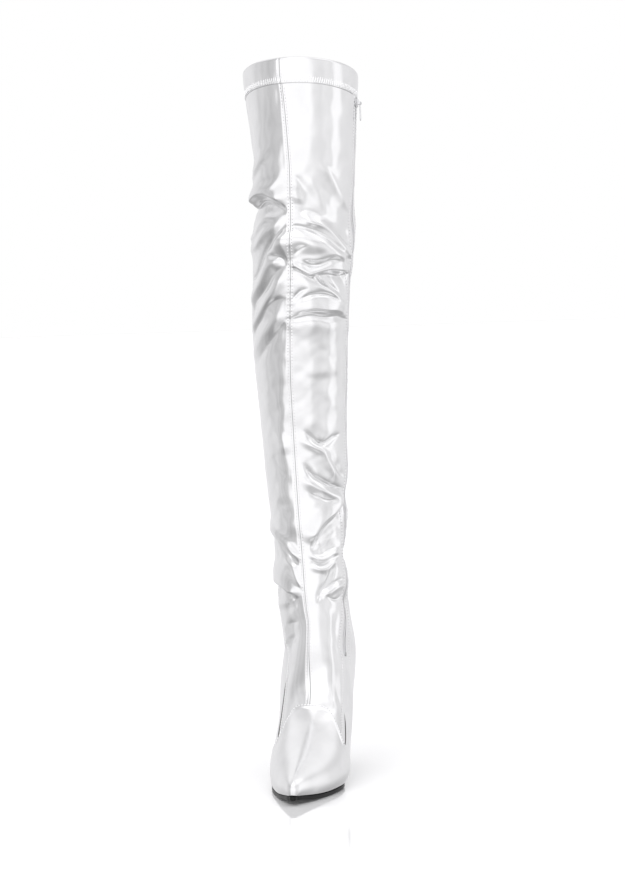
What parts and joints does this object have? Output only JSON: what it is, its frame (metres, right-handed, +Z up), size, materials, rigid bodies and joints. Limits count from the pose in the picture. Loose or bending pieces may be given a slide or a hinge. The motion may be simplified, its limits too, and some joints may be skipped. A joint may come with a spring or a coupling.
{
  "type": "thigh-high boot",
  "caption": "Thigh-high silver metallic boot for the right foot: pointed toe, centre-front seam, inner-side zip with a swinging pull, folded hem, thin black sole and slim covered heel.",
  "frame": {"origin": "middle of the boot's footprint box, on the floor plane under the sole", "axes": "+Z up along the shaft, -Y towards the toe, +X towards the inner side of the foot"},
  "size_m": [0.1296, 0.2644, 0.7816],
  "materials": {
    "silver_leather": "mirror-bright silver foil on soft stretch leather, fine grain, small wrinkles",
    "black_sole": "satin black",
    "insole_lining": "matt pale grey knit lining",
    "zip_tape": "silver-grey woven tape with a silver coil",
    "zip_metal": "polished silver metal"
  },
  "bodies": {
    "boot": {"upper": "silver_leather", "vamp": "silver_leather", "front_seam": "silver_leather", "outer_side_seam": "silver_leather", "inner_side_seam": "silver_leather", "hem_band": "silver_leather", "heel": "silver_leather", "outsole": "black_sole", "heel_lift": "black_sole", "insole": "insole_lining", "zip": "zip_tape", "zip_slider": "zip_metal"},
    "zip_pull": {"zip_pull": "zip_metal"}
  },
  "joints": [
    {"name": "pull_swing", "type": "hinge", "parent": "boot", "child": "zip_pull", "pos_m": [0.06313, 0.06304, 0.73225], "axis": [-0.0101, -0.9999, 0], "range_deg": [0, 150]}
  ]
}
